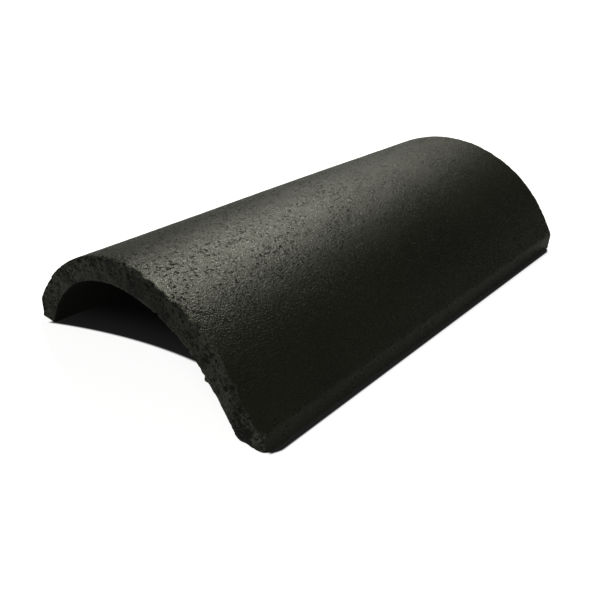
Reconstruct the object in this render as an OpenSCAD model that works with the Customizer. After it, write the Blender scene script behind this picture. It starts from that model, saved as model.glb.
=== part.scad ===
// Segmental ridge tile: a length of concrete arch that caps the ridge of a roof.
// Millimetres, +Z up. The origin is on the floor under the middle of the tile,
// the length runs along Y and the front end is at -Y.

/* [Tile] */
// Length along the ridge
tile_length = 450; // [300:5:600]
// Width across the outside of the two feet
tile_width = 250; // [210:1:320]
// Rise from the feet to the top of the crown
tile_rise = 92; // [75:1:105]
// Thickness of the arched shell
shell_thickness = 21; // [12:0.5:30]

/* [Feet] */
// Height of the upright band along the outside of each foot
land_height = 17; // [8:0.5:24]
// How far the upright band stands out from the arch at its top
band_step = 1.5; // [0.5:0.25:3]
// Width of the chamfer on the long outer edge under each foot
foot_chamfer = 2; // [0.5:0.5:4]
// How far the lower corners at the ends of the feet are worn back
corner_wear = 4; // [1:0.5:8]
// How far the lower corner at the front of the right foot is worn back
front_right_wear = 12; // [8:0.5:25]
// Radius of a worn corner's arc, in lengths of its wear: at 1 it would run tangent into both faces
wear_arc_ratio = 1.2; // [1.1:0.05:2]

/* [Hidden] */
$fn = 96;

half_width = tile_width / 2;
half_length = tile_length / 2;

// The outer arc passes through the crown and meets the ledge on top of each upright band
arc_half_width = half_width - band_step;
arc_rise = tile_rise - land_height;
outer_radius = (arc_half_width * arc_half_width + arc_rise * arc_rise) / (2 * arc_rise);
inner_radius = outer_radius - shell_thickness;
arc_centre_z = tile_rise - outer_radius;

// Side of the tilted square that cuts a chamfer
chamfer_side = foot_chamfer * sqrt(2);

// How far a cutter reaches past the face that it cuts
cut_margin = 1;

// Distance from both faces to the centre of the arc that joins them through the ends of the wear
function arc_centre(wear, radius) = (wear + sqrt(2 * radius * radius - wear * wear)) / 2;

// Waste in the corner between the two axes, outside the arc of a worn corner
module corner_waste(wear) {
    radius = wear * wear_arc_ratio;
    centre = arc_centre(wear, radius);
    difference() {
        translate([-cut_margin, -cut_margin])
            square(centre + cut_margin);
        translate([centre, centre])
            circle(r = radius);
    }
}

// Disc about the centre of the arch, standing in the XY plane with the floor at Y = 0
module arch_disc(radius) {
    translate([0, arc_centre_z])
        circle(r = radius);
}

// Waste above the upright bands, outside the outer arc
module waste_over_bands() {
    difference() {
        translate([-half_width - cut_margin, land_height])
            square([tile_width + 2 * cut_margin, arc_rise + 2 * cut_margin]);
        arch_disc(outer_radius);
    }
}

// Cross-section: an arch above the floor, with an upright band outside each foot
module tile_section() {
    difference() {
        translate([-half_width, 0])
            square([tile_width, tile_rise + cut_margin]);
        waste_over_bands();
        arch_disc(inner_radius);
        for (side = [0, 1])
            mirror([side, 0])
                translate([half_width, 0])
                    rotate(45)
                        square(chamfer_side, center = true);
    }
}

// Bar along X that wears back the lower front corner of the right foot
module corner_cutter(wear) {
    translate([0, -half_length, 0])
        rotate([90, 0, 90])
            linear_extrude(half_width + cut_margin)
                corner_waste(wear);
}

// The whole tile, cast as one piece
module ridge_tile() {
    color([0.22, 0.22, 0.2])
        difference() {
            rotate([90, 0, 0])
                linear_extrude(tile_length, center = true)
                    tile_section();
            corner_cutter(front_right_wear);
            mirror([1, 0, 0])
                corner_cutter(corner_wear);
            mirror([0, 1, 0])
                corner_cutter(corner_wear);
            mirror([1, 0, 0])
                mirror([0, 1, 0])
                    corner_cutter(corner_wear);
        }
}

ridge_tile();
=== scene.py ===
# %% [markdown]
# # A concrete ridge tile
#
# A ridge tile caps the line where the two slopes of a roof meet. This one is a plain length of shallow arch,
# cast in dark concrete: a sandy, slightly satin top, rough torn ends and a worn front corner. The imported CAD
# model gives its size and place. Here it gets its true surface, a skin worked out as one numpy grid, and its
# finish.

# %% Load the frame
import math

import bpy
import numpy as np
from mathutils import Matrix, Vector


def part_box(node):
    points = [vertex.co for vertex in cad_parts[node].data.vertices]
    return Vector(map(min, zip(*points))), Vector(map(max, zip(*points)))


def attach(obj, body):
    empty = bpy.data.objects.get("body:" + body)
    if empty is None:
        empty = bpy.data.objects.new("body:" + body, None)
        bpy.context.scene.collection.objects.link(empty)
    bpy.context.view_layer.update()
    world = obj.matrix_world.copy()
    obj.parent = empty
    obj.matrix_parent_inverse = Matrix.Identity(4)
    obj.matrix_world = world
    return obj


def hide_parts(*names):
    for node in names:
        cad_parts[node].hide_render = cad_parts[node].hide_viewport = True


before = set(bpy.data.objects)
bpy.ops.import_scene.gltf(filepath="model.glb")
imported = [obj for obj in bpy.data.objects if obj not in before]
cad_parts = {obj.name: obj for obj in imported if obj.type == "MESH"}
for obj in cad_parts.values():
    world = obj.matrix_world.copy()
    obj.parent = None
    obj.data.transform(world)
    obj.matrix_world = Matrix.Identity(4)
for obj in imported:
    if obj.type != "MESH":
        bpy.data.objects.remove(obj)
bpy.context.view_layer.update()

# %% [markdown]
# ## The section
#
# The crown is a circular arc. Low on each side the arc runs straight on, as a tangent, to the top of an
# upright band along the foot, and the turn between the two is worn soft. The outer and the inner face are
# two paths with the same number of stations, so that a straight line across the wall joins each outer
# station to its inner one. The tile could be cut from a tube, but two matched paths keep the grid even where
# the upright bands leave the round.

# %% Sizes of the section
low, high = (np.array(corner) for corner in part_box("ridge_tile"))
half_width = (high[0] - low[0]) / 2
half_length = (high[1] - low[1]) / 2
rise = high[2] - low[2]
WALL = 0.021
BAND_HEIGHT = 0.017
BAND_STEP = 0.0015
BAND_ROUND = 0.0035
FOOT_EDGE = 0.001

# The arc is the CAD model's: it would pass BAND_STEP inside the top of the band
arc_half_width = half_width - BAND_STEP
band_rise = rise - BAND_HEIGHT
outer_radius = (arc_half_width ** 2 + band_rise ** 2) / (2 * band_rise)
inner_radius = outer_radius - WALL
centre_z = rise - outer_radius
inner_turn = math.acos(-centre_z / inner_radius)

# The tangent from the top of the band touches the arc at outer_turn and is flank_length long
band_top = np.array([half_width, BAND_HEIGHT])
reach = math.hypot(half_width, BAND_HEIGHT - centre_z)
outer_turn = math.atan2(half_width, BAND_HEIGHT - centre_z) - math.acos(outer_radius / reach)
flank_length = math.sqrt(reach ** 2 - outer_radius ** 2)
print("outer radius", round(outer_radius, 4), "half turn in degrees", round(math.degrees(outer_turn), 1))

# %% Matched outer and inner paths
ARC_STATIONS = 125
FLANK_STATIONS = 14
ROUND_STATIONS = 5
BAND_STATIONS = 8
EDGE_STATIONS = 3


def around(radius, turn):
    """Points of an arc about the section's centre: x = radius sin(turn), z = centre + radius cos(turn)."""
    return np.stack([radius * np.sin(turn), centre_z + radius * np.cos(turn)], -1)


def outer_half():
    """Crown to foot: an arc, its tangent, a parabola to the upright, the band, then a quarter round."""
    arc = around(outer_radius, np.linspace(0, outer_turn, ARC_STATIONS + 1))
    slope = np.array([math.cos(outer_turn), -math.sin(outer_turn)])
    flank = arc[-1] + slope * np.linspace(0, flank_length - BAND_ROUND, FLANK_STATIONS + 1)[1:, None]
    share = np.linspace(0, 1, ROUND_STATIONS + 1)[1:, None]
    before = band_top - slope * BAND_ROUND
    after = band_top - [0, BAND_ROUND]
    soft_turn = before * (1 - share) ** 2 + band_top * 2 * share * (1 - share) + after * share ** 2
    drop = np.linspace(BAND_HEIGHT - BAND_ROUND, FOOT_EDGE, BAND_STATIONS + 1)[1:]
    band = np.stack([np.full(BAND_STATIONS, half_width), drop], -1)
    turn = np.linspace(0, math.pi / 2, EDGE_STATIONS + 1)[1:]
    edge = np.stack([half_width - FOOT_EDGE * (1 - np.cos(turn)), FOOT_EDGE * (1 - np.sin(turn))], -1)
    return np.concatenate([arc, flank, soft_turn, band, edge])


def inner_half():
    """Crown to foot on the inside: the same turns as outside, then the rest of the arc to the floor."""
    rest_stations = FLANK_STATIONS + ROUND_STATIONS + BAND_STATIONS + EDGE_STATIONS
    rest = np.linspace(outer_turn, inner_turn, rest_stations + 1)[1:]
    return around(inner_radius, np.concatenate([np.linspace(0, outer_turn, ARC_STATIONS + 1), rest]))


def both_sides(half):
    """The right half and its mirror image, as one path from the left foot to the right foot."""
    return np.concatenate([half[:0:-1] * [-1, 1], half])


outer_path = both_sides(outer_half())
inner_path = both_sides(inner_half())
steps = np.linalg.norm(np.diff(outer_path, axis=0), axis=1)
along_arch = np.concatenate([[0], np.cumsum(steps)])
along_arch -= along_arch[-1] / 2
print("stations across the arch", len(outer_path), "arch length", round(float(steps.sum()), 4))

# %% [markdown]
# ## Noise with a formula
#
# Concrete is rough at every scale. Two kinds of roughness are enough here: soft noise, for swells and grit,
# and round pits, for the air holes that a stiff mix leaves. Both come from whole numbers stirred into
# repeatable random values, so the tile is the same on every run.

# %% Soft noise and pits
CELL_ODDS = np.array([374761393, 668265263, 1103515245])
SEED_ODD = 1274126177
LAYER_FALL = 0.6
SMALLEST_PIT = 0.4


def stirred(cells, seed):
    """A repeatable value from 0 to 1 for each lattice cell.

    The cell's whole coordinates and the seed are multiplied by large odd numbers, added, and mixed by bits.
    """
    mixed = seed * SEED_ODD + cells @ CELL_ODDS
    mixed = ((mixed ^ (mixed >> 13)) & 0x7FFFFFFF) * SEED_ODD
    return ((mixed ^ (mixed >> 16)) & 0xFFFF) / 0xFFFF


def soft_noise(points, cell, seed):
    """Noise from -1 to 1: random values on a lattice, blended between its corners with eased weights."""
    spots = points / cell
    base = np.floor(spots).astype(np.int64)
    part = spots - base
    ease = part * part * (3 - 2 * part)
    total = np.zeros(points.shape[:-1])
    for corner in np.ndindex(2, 2, 2):
        weight = np.prod(np.where(corner, ease, 1 - ease), axis=-1)
        total += weight * stirred(base + np.array(corner), seed)
    return 2 * total - 1


def layered_noise(points, cell, layers, seed):
    """Soft noise plus finer layers, each at half the cell and LAYER_FALL of the height of the one before."""
    heights = LAYER_FALL ** np.arange(layers)
    total = sum(height * soft_noise(points, cell / 2 ** i, seed + i) for i, height in enumerate(heights))
    return total / heights.sum()


def pits(points, cell, radius, share, seed):
    """Depth from 0 to 1 of round pits, which a share of the lattice's cells hold.

    A pit is a bowl, 1 - (distance / size)^2. Its size runs from SMALLEST_PIT of the radius to all of it.
    """
    base = np.floor(points / cell).astype(np.int64)
    deepest = np.zeros(points.shape[:-1])
    for corner in np.ndindex(3, 3, 3):
        cells = base + np.array(corner) - 1
        jitter = np.stack([stirred(cells, seed + i) for i in range(3)], -1)
        size = radius * (SMALLEST_PIT + (1 - SMALLEST_PIT) * stirred(cells, seed + 3))
        distance = np.linalg.norm(points - (cells + jitter) * cell, axis=-1)
        bowl = np.clip(1 - (distance / size) ** 2, 0, None)
        deepest = np.maximum(deepest, np.where(stirred(cells, seed + 4) < share, bowl, 0))
    return deepest


print("stirred values of three cells", np.round(stirred(np.eye(3, dtype=np.int64), seed=1), 3))

# %% [markdown]
# ## The long outline
#
# Cut the tile lengthways and the wall is a long thin rectangle: the top face, the front end, the underside
# and the back end. That closed outline is the profile, and the arch is the path that carries it. Its rows
# crowd together at the front, where the torn edge needs them, and spread out along the smooth middle.

# %% Rows of the outline
FINE_PLACES = 4000
STEP_GROWTH = 1.5


def graded(length, front_step, middle_step, back_step, blend):
    """Row places from 0 to length: the step grows from each end to the middle over the blend distance."""
    fine = np.linspace(0, length, FINE_PLACES)
    front = front_step + (middle_step - front_step) * np.clip(fine / blend, 0, 1) ** STEP_GROWTH
    back = back_step + (middle_step - back_step) * np.clip((length - fine) / blend, 0, 1) ** STEP_GROWTH
    rows = np.concatenate([[0], np.cumsum(np.diff(fine) / np.minimum(front, back)[1:])])
    count = int(round(rows[-1]))
    return np.interp(np.linspace(0, rows[-1], count + 1), rows, fine)


LENGTH = 2 * half_length
outer_rows = graded(LENGTH, front_step=0.0007, middle_step=0.0033, back_step=0.0016, blend=0.13)
inner_rows = graded(LENGTH, front_step=0.0011, middle_step=0.014, back_step=0.003, blend=0.10)
front_rows = np.linspace(0, WALL, num=31)
back_rows = np.linspace(0, WALL, num=15)

# Each row has a distance behind the front end and a depth below the top face
behind = np.concatenate([outer_rows[::-1], np.zeros(len(front_rows) - 1), inner_rows[1:],
                         np.full(len(back_rows) - 2, LENGTH)])
depth = np.concatenate([np.zeros(len(outer_rows)), front_rows[1:], np.full(len(inner_rows) - 1, WALL),
                        back_rows[-2:0:-1]])
ROWS, COLUMNS = len(behind), len(outer_path)
print("rows", ROWS, "columns", COLUMNS, "quads", ROWS * (COLUMNS - 1))

# %% [markdown]
# ## Torn edges
#
# The tile was cut from a wet strip, so the top edge of the front end is torn: grit has come away and left
# small bites. In the profile an edge is the stretch of rows from a little way down the end face to a little
# way along the top. Laying that stretch along a curve between its two ends takes the corner off. How far it
# reaches varies along the arch, so the edge wanders and bites deeper in places.


# %% Shapes along the arch
def eased(value, start, end):
    """A value carried from 0 at start to 1 at end with eased ends, and held there."""
    share = np.clip((value - start) / (end - start), 0, 1)
    return share * share * (3 - 2 * share)


def bell(place, width):
    """1 at a place along the arch, falling off to both sides as exp(-((along - place) / width)^2)."""
    return np.exp(-((along_arch - place) / width) ** 2)


def line_noise(cell, seed):
    """Soft noise along the arch, one value a column."""
    spots = np.stack([along_arch, np.zeros(COLUMNS), np.zeros(COLUMNS)], -1)
    return soft_noise(spots, cell, seed)


# Height and cell size of each layer of an edge's wander
WANDER_LAYERS = ((0.4, 0.017), (0.6, 0.007), (0.9, 0.0033))


def rough_edge(plain, wander, seed):
    """How far an edge is worn back: a plain wear, plus layers of noise that only ever take more away."""
    waves = sum(height * line_noise(cell, seed + i) for i, (height, cell) in enumerate(WANDER_LAYERS))
    return plain + wander * np.clip(waves, 0, None)


# %% Edge loss along the arch
# Place along the arch, width and depth of each bite out of the front edge
BITES = [(-0.052, 0.005, 0.0010), (-0.006, 0.004, 0.0022), (0.011, 0.003, 0.0016), (0.026, 0.004, 0.0022),
         (0.051, 0.003, 0.0014), (0.071, 0.004, 0.0018), (0.094, 0.004, 0.0016), (0.118, 0.003, 0.0010)]
front_bites = sum(deep * bell(place, wide) for place, wide, deep in BITES)

# The left side is torn less, and the front edge of the right foot is worn quite round
CALM_SHARE, CALM_END, TORN_START = 0.5, -0.10, -0.03
ROUND_START, ROUND_FULL, CORNER_ROUND = 0.138, 0.160, 0.006
calm = CALM_SHARE + (1 - CALM_SHARE) * eased(along_arch, CALM_END, TORN_START)
right_corner = eased(along_arch, ROUND_START, ROUND_FULL)
front_loss = front_bites + CORNER_ROUND * right_corner
front_along = calm * rough_edge(plain=0.0006, wander=0.0026, seed=11) + front_loss
front_down = calm * rough_edge(plain=0.0009, wander=0.0030, seed=21) + front_loss
back_along = rough_edge(plain=0.0005, wander=0.0010, seed=31)
back_down = rough_edge(plain=0.0005, wander=0.0010, seed=41)
under_along = rough_edge(plain=0.0007, wander=0.0012, seed=51)
under_up = rough_edge(plain=0.0007, wander=0.0010, seed=61)
print("front edge worn back, least and most", np.round([front_along.min(), front_along.max()], 4))


# %% A corner laid along a curve
def relaid(run, rows, reach_a, reach_b, hollow):
    """The stretch of the outline about a corner, laid along a curve between its ends.

    run is each row's signed distance from the corner, negative on face a and positive on face b, and rows
    marks the rows on the two faces. A share runs from 0 at reach_a to 1 at reach_b. The curve is a quarter
    ellipse at hollow 0 and a straight scar at hollow 1. Returns the distance from face a, the distance from
    face b, and where the two hold.
    """
    share = np.clip((run[:, None] + reach_a) / (reach_a + reach_b), 0, 1)
    turn = share * math.pi / 2
    from_a = reach_b * ((1 - hollow) * (1 - np.cos(turn)) + hollow * share)
    from_b = reach_a * ((1 - hollow) * (1 - np.sin(turn)) + hollow * (1 - share))
    return from_a, from_b, rows[:, None] & (share > 0) & (share < 1)


# %% Wear the top edges
FRONT_HOLLOW = 0.75
BACK_HOLLOW = 0.6
behind_grid = np.repeat(behind[:, None], COLUMNS, axis=1)
depth_grid = np.repeat(depth[:, None], COLUMNS, axis=1)
on_top = depth == 0
at_front = behind == 0
at_back = behind == LENGTH

# Front: negative down the end face, positive along the top
run = np.where(on_top, behind, -depth)
front_hollow = FRONT_HOLLOW * (1 - right_corner)
new_behind, new_depth, worn = relaid(run, on_top | at_front, front_down, front_along, front_hollow)
behind_grid = np.where(worn, new_behind, behind_grid)
depth_grid = np.where(worn, new_depth, depth_grid)
torn = np.where(worn, 1.0, 0.0)

# Back: negative down the back face, positive along the top towards the front
run = np.where(on_top, LENGTH - behind, -depth)
new_behind, new_depth, worn = relaid(run, on_top | at_back, back_down, back_along, BACK_HOLLOW)
behind_grid = np.where(worn, LENGTH - new_behind, behind_grid)
depth_grid = np.where(worn, new_depth, depth_grid)
torn = np.where(worn, 1.0, torn)
print("grid points in the torn top edges", int(torn.sum()))

# %% Wear the lower edges
UNDER_HOLLOW = 0.2
on_under = depth == WALL

# At both ends: negative up the end face, positive along the underside
for at_end, sign in ((0.0, 1), (LENGTH, -1)):
    run = np.where(on_under, np.abs(behind - at_end), depth - WALL)
    rows = (on_under | (behind == at_end)) & (depth > 0)
    new_behind, new_depth, worn = relaid(run, rows, under_up, under_along, UNDER_HOLLOW)
    behind_grid = np.where(worn, at_end + sign * new_behind, behind_grid)
    depth_grid = np.where(worn, WALL - new_depth, depth_grid)
    print("grid points in a lower edge", int(worn.sum()))

# %% [markdown]
# ## Carry the outline round the arch
#
# Every row now becomes a line from foot to foot. The wall isn't quite even: near the front the left
# shoulder is thin and the right leg is thick. The lower end corners of the feet are worn, the front right
# one the most, so the ends lean back near the floor. Then the skin is roughened inwards, because the tile
# can't be bigger than the box that it came from. Only one nub stands out, inside the arch.

# %% Section of every row
across = (depth_grid / WALL)[..., None]
section = outer_path[None] * (1 - across) + inner_path[None] * across
from_centre = section - [0, centre_z]
from_centre /= np.linalg.norm(from_centre, axis=-1, keepdims=True)


def uneven(place, width, length):
    """1 at a place on the front end, falling off to both sides of it and over a length behind it."""
    return (bell(place, width) * (1 - eased(behind_grid, 0, length)))[..., None]


# The top of the left shoulder lies lower, and its underside higher by SLUMP_LIFT of that
SLUMP_DEPTH, SLUMP_LIFT = 0.0018, 0.6
slump = uneven(place=-0.085, width=0.045, length=0.30)
section = section - from_centre * SLUMP_DEPTH * slump * (1 - (1 + SLUMP_LIFT) * across)

# The right leg is thick on its inside alone
THICK_DEPTH = 0.0016
thick = uneven(place=0.112, width=0.035, length=0.10)
section = section - from_centre * THICK_DEPTH * thick * across
print("section of", ROWS, "rows, shoulder lower by up to", round(float(SLUMP_DEPTH * slump.max()), 4))

# %% Worn corners
# The wear starts under the solid's, because the roughening takes more away
CORNER_WEAR = 0.0005
FRONT_RIGHT_WEAR = 0.0095
WEAR_ARC_RATIO = 1.5
WEAR_REACH = 0.060


def worn_back(level, wear):
    """How far an end leans back at a level above the floor.

    An arc joins two points: one on the floor, wear behind the end face, and one on the end face, wear above
    the floor.
    """
    radius = wear * WEAR_ARC_RATIO
    centre = (wear + np.sqrt(2 * radius ** 2 - wear ** 2)) / 2
    inside = np.clip(radius ** 2 - (centre - level) ** 2, 0, None)
    return np.where(level < wear, centre - np.sqrt(inside), 0)


def near_end(distance):
    """1 at an end, falling to 0 at WEAR_REACH from it."""
    return np.clip(1 - distance / WEAR_REACH, 0, 1) ** 2


level = section[..., 1]
front_wear = np.where(section[..., 0] > 0, FRONT_RIGHT_WEAR, CORNER_WEAR)
lean_front = worn_back(level, front_wear) * near_end(behind_grid)
lean_back = worn_back(level, CORNER_WEAR) * near_end(LENGTH - behind_grid)
along = behind_grid + lean_front - lean_back - half_length
places = np.stack([section[..., 0], along, level], -1)
print("grid placed", places.shape, "front right corner back by", round(float(lean_front.max()), 4))

# %% Masks of the faces
LIP_WIDTH = 0.0025


def eased_over_rows(mask, times):
    """A mask blurred along the outline: the mean of each row and its two neighbours, several times over."""
    for _ in range(times):
        mask = (np.roll(mask, 1, axis=0) + mask + np.roll(mask, -1, axis=0)) / 3
    return mask


on_end = ~on_top & (at_front | (at_back & ~on_under))
all_columns = np.ones(COLUMNS)
raw = eased_over_rows(np.maximum(on_end[:, None] * all_columns, torn), times=2)
under = eased_over_rows(on_under[:, None] * all_columns, times=1)
top = np.clip(1 - raw - under, 0, 1)
lip = np.clip((depth_grid - WALL + LIP_WIDTH) / LIP_WIDTH, 0, 1) * raw
print("grid points, raw", int(raw.sum()), "underneath", int(under.sum()), "on top", int(top.sum()))

# %% Roughen it inwards
# Depths in metres of slow swells and of sand grit, and on the torn ends also of air holes
TOP_SWELL, TOP_GRIT = 0.0002, 0.00025
UNDER_SWELL, UNDER_GRIT = 0.0005, 0.0003
END_PLAIN, END_GRIT, END_HOLES = 0.0002, 0.0022, 0.0022
GRIT_POWER = 1.3

# The back end keeps BACK_SHARE of its roughness, and the lip loses LIP_LOSS of it
BACK_SHARE, LIP_LOSS = 0.4, 0.8
SETTLE_HEIGHT = 0.004


def outward(grid):
    """Unit normals of the grid: the cross product of its two directions, rows closed and columns open."""
    down = np.roll(grid, -1, axis=0) - np.roll(grid, 1, axis=0)
    over = np.gradient(grid, axis=1)
    normal = np.cross(down, over)
    return normal / np.maximum(np.linalg.norm(normal, axis=-1, keepdims=True), 1e-12)


swell = 0.5 + 0.5 * layered_noise(places, cell=0.045, layers=2, seed=71)
grit = 0.5 + 0.5 * layered_noise(places, cell=0.006, layers=3, seed=81)
large_holes = pits(places, cell=0.0085, radius=0.0030, share=0.5, seed=91)
small_holes = pits(places, cell=0.0045, radius=0.0016, share=0.5, seed=101)
air_holes = np.maximum(large_holes, small_holes)
sink = top * (TOP_SWELL * swell + TOP_GRIT * grit)
sink += under * (UNDER_SWELL * swell + UNDER_GRIT * grit)
calmer = np.where(behind_grid > half_length, BACK_SHARE, 1.0) * (1 - LIP_LOSS * lip)
sink += calmer * raw * (END_PLAIN + END_GRIT * grit ** GRIT_POWER + END_HOLES * air_holes)

# A nub of grit stands on the inner edge of the right leg
NUB_PLACE, NUB_WIDTH, NUB_LENGTH, NUB_HEIGHT = 0.102, 0.0018, 0.003, 0.0026
sink -= NUB_HEIGHT * under * bell(NUB_PLACE, NUB_WIDTH) * np.exp(-(behind_grid / NUB_LENGTH) ** 2)

# The roughness fades out towards the floor, so that the feet stand flat
settled = np.clip(places[..., 2:3] / SETTLE_HEIGHT, 0, 1)
skin = np.clip(places - outward(places) * sink[..., None] * settled, low, high)
print("roughened by up to", round(float(sink.max()), 4))

# %% [markdown]
# ## The mesh
#
# The grid's quads close the tile along the outline. Each foot is still open underneath, and its outer and
# inner edges have different numbers of rows. A line of points down the middle of the foot is laced to both:
# each stretch of an edge meets the middle point beside it, as one laces a boot with unequal holes.


# %% Quads and laces
def grid_quads(rows, columns):
    """Vertex numbers of the quads of a grid that is closed over its rows and open over its columns."""
    index = np.arange(rows * columns).reshape(rows, columns)
    after = np.roll(index, -1, axis=0)
    return np.stack([index[:, :-1], after[:, :-1], after[:, 1:], index[:, 1:]], -1).reshape(-1, 4)


def laced(edge_a, edge_b, place_a, place_b):
    """Triangles between two edges, given their vertex numbers and rising places along the foot.

    A segment of one edge meets the point of the other edge whose place is beside the segment's middle.
    """
    middle_a = (place_a[1:] + place_a[:-1]) / 2
    middle_b = (place_b[1:] + place_b[:-1]) / 2
    beside_a = np.searchsorted(middle_b, middle_a, side="left")
    beside_b = np.searchsorted(middle_a, middle_b, side="right")
    from_a = np.stack([edge_a[:-1], edge_a[1:], edge_b[beside_a]], -1)
    from_b = np.stack([edge_b[1:], edge_b[:-1], edge_a[beside_b]], -1)
    return np.concatenate([from_a, from_b])


# %% Close the feet
MIDDLE_POINTS = 60
MIDDLE_INSET = 0.024
front_middle = len(outer_rows) - 1 + len(front_rows) // 2
back_middle = ROWS - len(back_rows) // 2
outer_side = np.arange(front_middle, back_middle - ROWS - 1, -1) % ROWS
inner_side = np.arange(front_middle, back_middle + 1)
middle_places = np.linspace(MIDDLE_INSET, LENGTH - MIDDLE_INSET, MIDDLE_POINTS)


def foot_closing(column, first_number):
    """A foot's middle points, and the triangles that lace them to both sides of the column."""
    middle = np.zeros((MIDDLE_POINTS, 3))
    middle[:, 0] = (outer_path[column, 0] + inner_path[column, 0]) / 2
    middle[:, 1] = middle_places - half_length
    numbers = first_number + np.arange(MIDDLE_POINTS)
    outer_part = laced(outer_side * COLUMNS + column, numbers, behind[outer_side], middle_places)
    inner_part = laced(inner_side * COLUMNS + column, numbers, behind[inner_side], middle_places)
    return middle, np.concatenate([outer_part, inner_part[:, ::-1]])


left_points, left_triangles = foot_closing(0, ROWS * COLUMNS)
right_points, right_triangles = foot_closing(COLUMNS - 1, ROWS * COLUMNS + MIDDLE_POINTS)
triangles = np.concatenate([left_triangles, right_triangles[:, ::-1]])
print("triangles under the feet", len(triangles))

# %% Build the mesh
quads = grid_quads(ROWS, COLUMNS)
points = np.concatenate([skin.reshape(-1, 3), left_points, right_points])
mesh = bpy.data.meshes.new("tile_skin")
mesh.from_pydata(points.tolist(), [], quads.tolist() + triangles.tolist())
mesh.polygons.foreach_set("use_smooth", np.ones(len(mesh.polygons), dtype=bool))
tile = bpy.data.objects.new("tile_skin", mesh)
bpy.context.collection.objects.link(tile)

halves = np.concatenate([quads[:, [0, 1, 2]], quads[:, [0, 2, 3]], triangles])
first, second, third = (points[halves[:, i]] for i in range(3))
volume = np.einsum("ij,ij->i", first, np.cross(second, third)).sum() / 6
print("triangles", len(halves), "volume in litres", round(1000 * float(volume), 3))

# %% Numbers that the finish reads
# The end face is darker in its middle, over a bell across the arch
DARKER_MIDDLE_PLACE, DARKER_MIDDLE_WIDTH = 0.025, 0.075
vertex_numbers = {
    "raw_face": raw,
    "depth_share": depth_grid / WALL,
    "lip": lip,
    "damp": bell(DARKER_MIDDLE_PLACE, DARKER_MIDDLE_WIDTH) * (1 - lip),
    "underside": under,
    "air_hole": air_holes * raw * (1 - lip),
}

# The middle points of the feet get 0
for name, values in vertex_numbers.items():
    padded = np.concatenate([values.ravel(), np.zeros(2 * MIDDLE_POINTS)]).astype(np.float32)
    mesh.attributes.new(name, "FLOAT", "POINT").data.foreach_set("value", padded)
mesh.update()
print("numbers kept on each vertex:", ", ".join(vertex_numbers))

# %% [markdown]
# ## The finish
#
# Dark pigmented concrete is never one colour: it clouds over a hand's width, and its sand shows as grains of
# a millimetre or two. The pits between them carry painted shade: their colour is darkened where shade falls.
# The top was trowelled and sealed, so it has a satin sheen that breaks up on the grit. The torn ends are
# unsealed and dull, with air holes painted black as painted shade, a darker middle and a paler lower lip.
# The underside is dull, and its colour is painted nearly black as painted shade. All of it hangs on Object
# coordinates, which on this piece are metres, so a scale of 800 means grains of about 1.25 mm.


# %% Node helpers
def emptied(owner):
    """Turns on the nodes of a material or world, and returns its node tree with nothing in it."""
    owner.use_nodes = True
    owner.node_tree.nodes.clear()
    return owner.node_tree


def put(kind, settings=None, **inputs):
    """Adds a node. settings are its own properties; inputs are values or sockets, by name or by _number."""
    made = tree.nodes.new(kind)
    for name, value in (settings or {}).items():
        setattr(made, name, value)
    for name, value in inputs.items():
        socket = made.inputs[int(name[1:])] if name.startswith("_") else made.inputs[name.replace("_", " ")]
        if isinstance(value, bpy.types.NodeSocket):
            tree.links.new(value, socket)
        else:
            socket.default_value = value
    return made


def calc(operation, first, second=0.0, third=0.0):
    """A sum on two or three numbers or sockets."""
    return put("ShaderNodeMath", {"operation": operation}, _0=first, _1=second, _2=third).outputs[0]


def weighted(first, first_weight, second, second_weight):
    """Two values, each times its weight, added."""
    return calc("MULTIPLY_ADD", first, first_weight, calc("MULTIPLY", second, second_weight))


def ranged(value, start, end, to_start=0.0, to_end=1.0):
    """A value carried from one range to another with eased ends, and held at the ends."""
    settings = {"interpolation_type": "SMOOTHSTEP", "clamp": True}
    return put("ShaderNodeMapRange", settings, Value=value, From_Min=start, From_Max=end,
               To_Min=to_start, To_Max=to_end).outputs[0]


def blend(factor, first, second):
    """One colour turning into another."""
    return put("ShaderNodeMix", {"data_type": "RGBA"}, _0=factor, _6=first, _7=second).outputs[2]


# %% Textures on the tile
material = bpy.data.materials.new("charcoal_concrete")
tree = emptied(material)
where = put("ShaderNodeTexCoord").outputs["Object"]


def noise(scale, detail):
    """Blender's own noise, from about 0.3 to 0.7, with its grain at 1 / scale metres."""
    return put("ShaderNodeTexNoise", Vector=where, Scale=scale, Detail=detail).outputs[0]


def kept(name):
    """A number kept on the mesh."""
    return put("ShaderNodeAttribute", {"attribute_name": name}).outputs["Fac"]


clouds = ranged(noise(scale=13, detail=3), 0.35, 0.65)
sand = ranged(noise(scale=800, detail=2), 0.28, 0.72)
dust = ranged(noise(scale=1700, detail=1), 0.28, 0.72)

# A place pushed about by fine noise, so that what is drawn there has a crumbled edge
CRUMBLE = 0.0022
crumbs = put("ShaderNodeTexNoise", Vector=where, Scale=500.0, Detail=1.0).outputs["Color"]
shift = put("ShaderNodeVectorMath", {"operation": "SCALE"}, _0=crumbs, Scale=CRUMBLE).outputs[0]
crumbled_where = put("ShaderNodeVectorMath", {"operation": "ADD"}, _0=where, _1=shift).outputs[0]
print("texture nodes", len(tree.nodes))


# %% Grains and pits
def cell_tone(cells):
    """The random number from 0 to 1 that a Voronoi texture gives each of its cells."""
    return put("ShaderNodeSeparateColor", _0=cells.outputs["Color"]).outputs[0]


def pitted(scale, size, share):
    """Crumbled pits from Voronoi cells: 1 at the bottom, 0 beyond the size, in a share of the cells."""
    cells = put("ShaderNodeTexVoronoi", Vector=crumbled_where, Scale=scale)
    bowl = ranged(cells.outputs["Distance"], size, size / 2)
    return calc("MULTIPLY", bowl, calc("LESS_THAN", cell_tone(cells), share))


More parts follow.
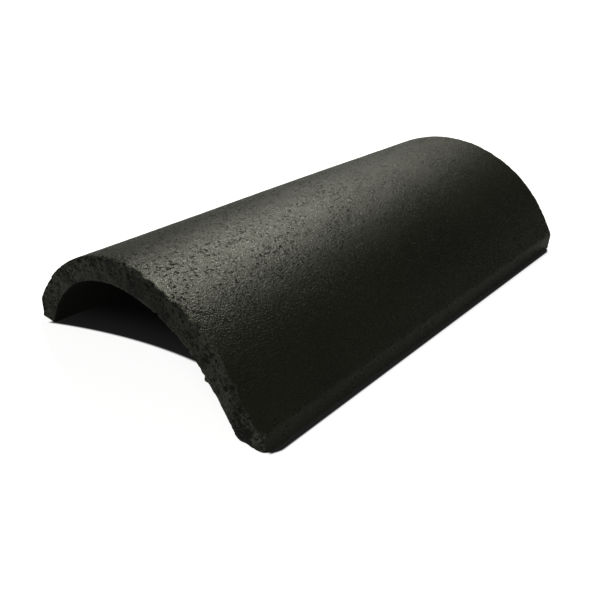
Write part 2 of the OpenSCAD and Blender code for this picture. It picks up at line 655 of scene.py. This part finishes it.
raw_mask = kept("raw_face")
clusters = ranged(noise(scale=38, detail=2), 0.33, 0.57)
specks = calc("MULTIPLY", pitted(scale=420, size=0.46, share=0.48), clusters)
pinholes = pitted(scale=140, size=0.18, share=0.16)
pinpricks = pitted(scale=650, size=0.44, share=0.42)

# The torn ends have most of their pores in the upper part, under the trowelled top
pore_share = calc("MULTIPLY", raw_mask, ranged(kept("depth_share"), 0.80, 0.45))
coarse_pores = pitted(scale=170, size=0.50, share=0.60)
fine_pores = pitted(scale=330, size=0.50, share=0.50)
pores = calc("MULTIPLY", calc("MAXIMUM", coarse_pores, fine_pores), pore_share)
pores = calc("MAXIMUM", pores, ranged(kept("air_hole"), 0.20, 0.60))
all_pits = calc("MAXIMUM", calc("MAXIMUM", specks, pinholes), pores)
stones = cell_tone(put("ShaderNodeTexVoronoi", Vector=crumbled_where, Scale=700))
print("nodes with grains and pits", len(tree.nodes))

# %% Colour
TOP_DARK, TOP_PALE = (0.0085, 0.0094, 0.0052, 1), (0.0215, 0.0232, 0.0130, 1)
RAW_DARK, RAW_PALE = (0.004, 0.004, 0.0034, 1), (0.104, 0.104, 0.090, 1)
DARKER_MIDDLE_COLOUR = (0.008, 0.008, 0.007, 1)
LIP_PALE = (0.060, 0.061, 0.052, 1)
# Painted shade: near black, for the pits and the underside
PAINTED_SHADE_BLACK = (0.001, 0.001, 0.0009, 1)

top_colour = blend(weighted(sand, 0.6, clouds, 0.4), TOP_DARK, TOP_PALE)
patches = ranged(noise(scale=70, detail=2), 0.36, 0.64)
grains = weighted(stones, 0.4, sand, 0.25)
gravel = ranged(calc("MULTIPLY_ADD", patches, 0.35, grains), 0.15, 0.85)
raw_colour = blend(gravel, RAW_DARK, RAW_PALE)
# Darker in the middle of the end face
raw_colour = blend(calc("MULTIPLY", kept("damp"), 0.72), raw_colour, DARKER_MIDDLE_COLOUR)
raw_colour = blend(calc("MULTIPLY", kept("lip"), 0.7), raw_colour, LIP_PALE)
colour = blend(raw_mask, top_colour, raw_colour)
# Painted shade: the underside's colour is darkened nearly to black
colour = blend(calc("MULTIPLY", kept("underside"), 0.7), colour, PAINTED_SHADE_BLACK)
# Painted shade: pits, pinholes and air holes are darkened towards black
colour = blend(calc("MULTIPLY", all_pits, 0.9), colour, PAINTED_SHADE_BLACK)
print("nodes with colour", len(tree.nodes))

# %% Relief and gloss
fine_relief = weighted(sand, 0.17, dust, 0.07)
coarse_relief = calc("MULTIPLY", weighted(stones, 0.45, sand, 0.40), raw_mask)
pit_relief = weighted(pores, 0.35, all_pits, 0.25)
relief = calc("SUBTRACT", calc("ADD", fine_relief, coarse_relief), pit_relief)
bump = put("ShaderNodeBump", Strength=1.0, Distance=0.001, Height=relief).outputs[0]

# The sealed top is satin; pits, pinpricks, torn ends and the underside are dull
satin = ranged(sand, 0, 1, to_start=0.44, to_end=0.23)
dull_pits = ranged(all_pits, 0.0, 0.25, to_start=0.0, to_end=0.95)
dull = calc("MAXIMUM", dull_pits, calc("MULTIPLY", pinpricks, 0.68))
dull = calc("MAXIMUM", dull, calc("MULTIPLY", kept("underside"), 0.9))
roughness = calc("MAXIMUM", calc("MULTIPLY_ADD", raw_mask, 0.40, satin), dull)
surface = put("ShaderNodeBsdfPrincipled", Base_Color=colour, Roughness=roughness, Normal=bump)
surface.inputs["Specular IOR Level"].default_value = 0.45
surface.inputs["Specular Tint"].default_value = (1.0, 1.0, 0.92, 1)
put("ShaderNodeOutputMaterial", Surface=surface.outputs[0])
mesh.materials.append(material)
print("finish nodes", len(tree.nodes))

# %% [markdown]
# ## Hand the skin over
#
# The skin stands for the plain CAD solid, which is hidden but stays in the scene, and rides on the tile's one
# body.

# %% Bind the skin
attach(tile, "root")
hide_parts("ridge_tile")
print(tile.name, "rides on root in place of ridge_tile")

# %% [markdown]
# ## Floor and light
#
# The tile stands on a plain white floor under a white sky. A large soft light behind and to the left gives
# the long sheen on the crown and leaves the near flank dark. Floor and sky glow white for the camera, and
# the floor keeps the lamps' soft shadow, but the tile receives only the dim light of a grey floor and a dim
# sky, so the dark flank stays dark. A floor that glows would glow under the arch too. So the floor carries a
# painted shadow, where its glow and its colour are turned dark by a formula: a painted contact shadow in a
# thin strip along each foot, and a painted shadow under the arch behind a line that slants in from one foot.
# Under the arch the grey floor that lights the tile is painted nearly black as well, as painted shade.

# %% Floor
FLOOR_REACH = 20.0
FLOOR_DROP = 0.0003
floor_mesh = bpy.data.meshes.new("floor")
square = np.array([[-1, -1, 0], [1, -1, 0], [1, 1, 0], [-1, 1, 0]])
corners = FLOOR_REACH * square - [0, 0, FLOOR_DROP]
floor_mesh.from_pydata(corners.tolist(), [], [(0, 1, 2, 3)])
floor = bpy.data.objects.new("floor", floor_mesh)
bpy.context.collection.objects.link(floor)
print("floor", 2 * FLOOR_REACH, "metres square")

# %% Rays that see the floor white
# Mirrored rays count only on the far floor, so that the near floor doesn't brighten the flank
FAR_START, FAR_FULL = 2.5, 4.0
floor_material = bpy.data.materials.new("pale_floor")
tree = emptied(floor_material)
rays = put("ShaderNodeLightPath")
spot = put("ShaderNodeTexCoord").outputs["Object"]
apart = put("ShaderNodeVectorMath", {"operation": "LENGTH"}, _0=spot).outputs["Value"]
mirrored = calc("MULTIPLY", rays.outputs["Is Glossy Ray"], ranged(apart, FAR_START, FAR_FULL))
mirrored = calc("MAXIMUM", mirrored, rays.outputs["Is Transmission Ray"])
seen = calc("MAXIMUM", rays.outputs["Is Camera Ray"], mirrored)
print("mirrored rays see the floor white from", FAR_START, "to", FAR_FULL, "metres on")

# %% Painted shadow under the arch
# At a distance u across the mouth from the foot, the line lies u (slant - bow u) behind the end
MOUTH_SLANT, MOUTH_BOW = 0.577, 1.72
LINE_START, LINE_FULL = -0.002, 0.001
INSIDE_START, INSIDE_FULL = 0.114, 0.110
inner_half_width = float(inner_path[-1, 0])
split = put("ShaderNodeSeparateXYZ", _0=spot)
sideways = calc("ABSOLUTE", split.outputs[0])
inwards = calc("SUBTRACT", half_length, calc("ABSOLUTE", split.outputs[1]))
across_mouth = calc("MULTIPLY", split.outputs[0], calc("SIGN", split.outputs[1]))
from_foot = calc("SUBTRACT", inner_half_width, across_mouth)
line = calc("MULTIPLY", from_foot, calc("MULTIPLY_ADD", from_foot, -MOUTH_BOW, MOUTH_SLANT))
past_line = calc("SUBTRACT", inwards, line)
inside_feet = ranged(sideways, INSIDE_START, INSIDE_FULL)
# Painted shadow: the floor between the feet and behind the line is marked to be drawn dark
painted_arch_shadow = calc("MULTIPLY", ranged(past_line, LINE_START, LINE_FULL), inside_feet)
print("half width of the mouth", round(inner_half_width, 4))

# %% Painted contact shadow along each foot
# The painted contact shadow narrows over its last stretch, and stops short at the worn corner
CONTACT_SHADOW_WIDTH, CONTACT_SHADOW_SOFT = 0.0028, 0.0017
CONTACT_SHADOW_SHORT = 0.009
NARROW_LENGTH, NARROW_BY = 0.012, 0.0035
UNDER_FOOT_START, UNDER_FOOT_FULL = 0.105, 0.109
CONTACT_SHADOW_END, CONTACT_SHADOW_FULL = 0.001, 0.004
contact_shadow_edge = half_width + CONTACT_SHADOW_WIDTH
to_the_right = calc("GREATER_THAN", split.outputs[0], 0)
to_the_front = calc("LESS_THAN", split.outputs[1], 0)
at_worn_corner = calc("MULTIPLY", to_the_right, to_the_front)
along_contact_shadow = calc("MULTIPLY_ADD", at_worn_corner, -CONTACT_SHADOW_SHORT, inwards)
narrowed = calc("ADD", sideways, ranged(along_contact_shadow, 0.0, NARROW_LENGTH, to_start=NARROW_BY, to_end=0.0))
under_foot = ranged(sideways, UNDER_FOOT_START, UNDER_FOOT_FULL)
# Painted contact shadow: a dark strip on the floor just outside each foot
painted_contact_shadow = calc("MULTIPLY", ranged(narrowed, contact_shadow_edge + CONTACT_SHADOW_SOFT, contact_shadow_edge), under_foot)
painted_contact_shadow = calc("MULTIPLY", painted_contact_shadow, ranged(along_contact_shadow, CONTACT_SHADOW_END, CONTACT_SHADOW_FULL))
# Painted shadow: the shadow under the arch and the contact shadow along the feet together
painted_shadow = calc("MAXIMUM", painted_arch_shadow, painted_contact_shadow)
print("seam dark to", round(float(contact_shadow_edge), 4), "from the middle line")


# %% Floor material
def grey(level):
    """An even grey, as a colour."""
    return (level, level, level, 1)


white = blend(ranged(apart, 0.35, 0.90), grey(0.82), grey(1))
# The painted shadow under the arch turns darker further in
deep = calc("MULTIPLY", painted_arch_shadow, ranged(past_line, -0.02, 0.05))
dark = blend(deep, grey(0.012), grey(0.001))
# Where the painted shadow lies, the floor's colour and its glow are painted dark
shown = put("ShaderNodeBsdfDiffuse", Color=blend(painted_shadow, grey(0.9), grey(0.005)))
glow = put("ShaderNodeEmission", Color=blend(painted_shadow, white, dark), Strength=1.0)
both = put("ShaderNodeAddShader", _0=shown.outputs[0], _1=glow.outputs[0])
# Painted shade: under the arch the floor that lights the tile is nearly black, so it gives the tile little
# light
bounce = put("ShaderNodeBsdfDiffuse", Color=blend(painted_arch_shadow, grey(0.38), grey(0.02)))
mixed = put("ShaderNodeMixShader", _0=seen, _1=bounce.outputs[0], _2=both.outputs[0])
put("ShaderNodeOutputMaterial", Surface=mixed.outputs[0])
floor_mesh.materials.append(floor_material)
print("floor nodes", len(tree.nodes))


# %% Lights
def soft_light(name, azimuth, elevation, distance, size, watts, colour):
    """A round area light, aimed at the tile from a bearing (0 is +X, 90 is +Y) and a height in degrees."""
    lamp = bpy.data.lights.new(name, "AREA")
    lamp.shape = "DISK"
    lamp.size = size
    lamp.energy = watts
    lamp.color = colour
    turn, lift = math.radians(azimuth), math.radians(elevation)
    away = Vector((math.cos(turn) * math.cos(lift), math.sin(turn) * math.cos(lift), math.sin(lift)))
    holder = bpy.data.objects.new(name, lamp)
    holder.location = away * distance
    holder.rotation_euler = away.to_track_quat("Z", "Y").to_euler()
    bpy.context.collection.objects.link(holder)
    print("light", name, watts, "watts at", tuple(round(v, 2) for v in holder.location))


soft_light("key", azimuth=130.8, elevation=48, distance=2.27, size=1.1, watts=32, colour=(1.0, 1.0, 0.88))
soft_light("fill", azimuth=300, elevation=28, distance=1.2, size=1.0, watts=4, colour=(1.0, 1.0, 0.97))

# %% Sky
DIM_SKY = 0.04
world = bpy.data.worlds.new("studio")
bpy.context.scene.world = world
tree = emptied(world)
sky_rays = put("ShaderNodeLightPath")
sky_seen = calc("MAXIMUM", sky_rays.outputs["Is Camera Ray"], sky_rays.outputs["Is Transmission Ray"])
sky_strength = ranged(sky_seen, 0.0, 1.0, to_start=DIM_SKY, to_end=1.0)
sky = put("ShaderNodeBackground", Color=(1, 1, 1, 1), Strength=sky_strength)
put("ShaderNodeOutputWorld", Surface=sky.outputs[0])
bpy.context.scene.view_settings.view_transform = "Standard"
print("sky nodes", len(tree.nodes))

# %% [markdown]
# ## Camera
#
# The viewer stands in front of the right foot and looks down along the tile, so that the front end shows its
# arch and the right flank runs away to the far foot.

# %% Camera
CAMERA_PLACE = Vector((0.3351, -0.4449, 0.2939))
AIM = Vector((0.0440, -0.0936, 0.0310))
ROLL = math.radians(2.88)
LENS = 39.27
SENSOR = 36.0
camera_data = bpy.data.cameras.new("viewer")
camera_data.lens = LENS
camera_data.sensor_width = SENSOR
camera = bpy.data.objects.new("viewer", camera_data)
facing = (AIM - CAMERA_PLACE).to_track_quat("-Z", "Y").to_matrix().to_4x4()
camera.matrix_world = Matrix.Translation(CAMERA_PLACE) @ facing @ Matrix.Rotation(ROLL, 4, "Z")
bpy.context.collection.objects.link(camera)
bpy.context.scene.camera = camera
print("camera at", tuple(round(v, 3) for v in CAMERA_PLACE))
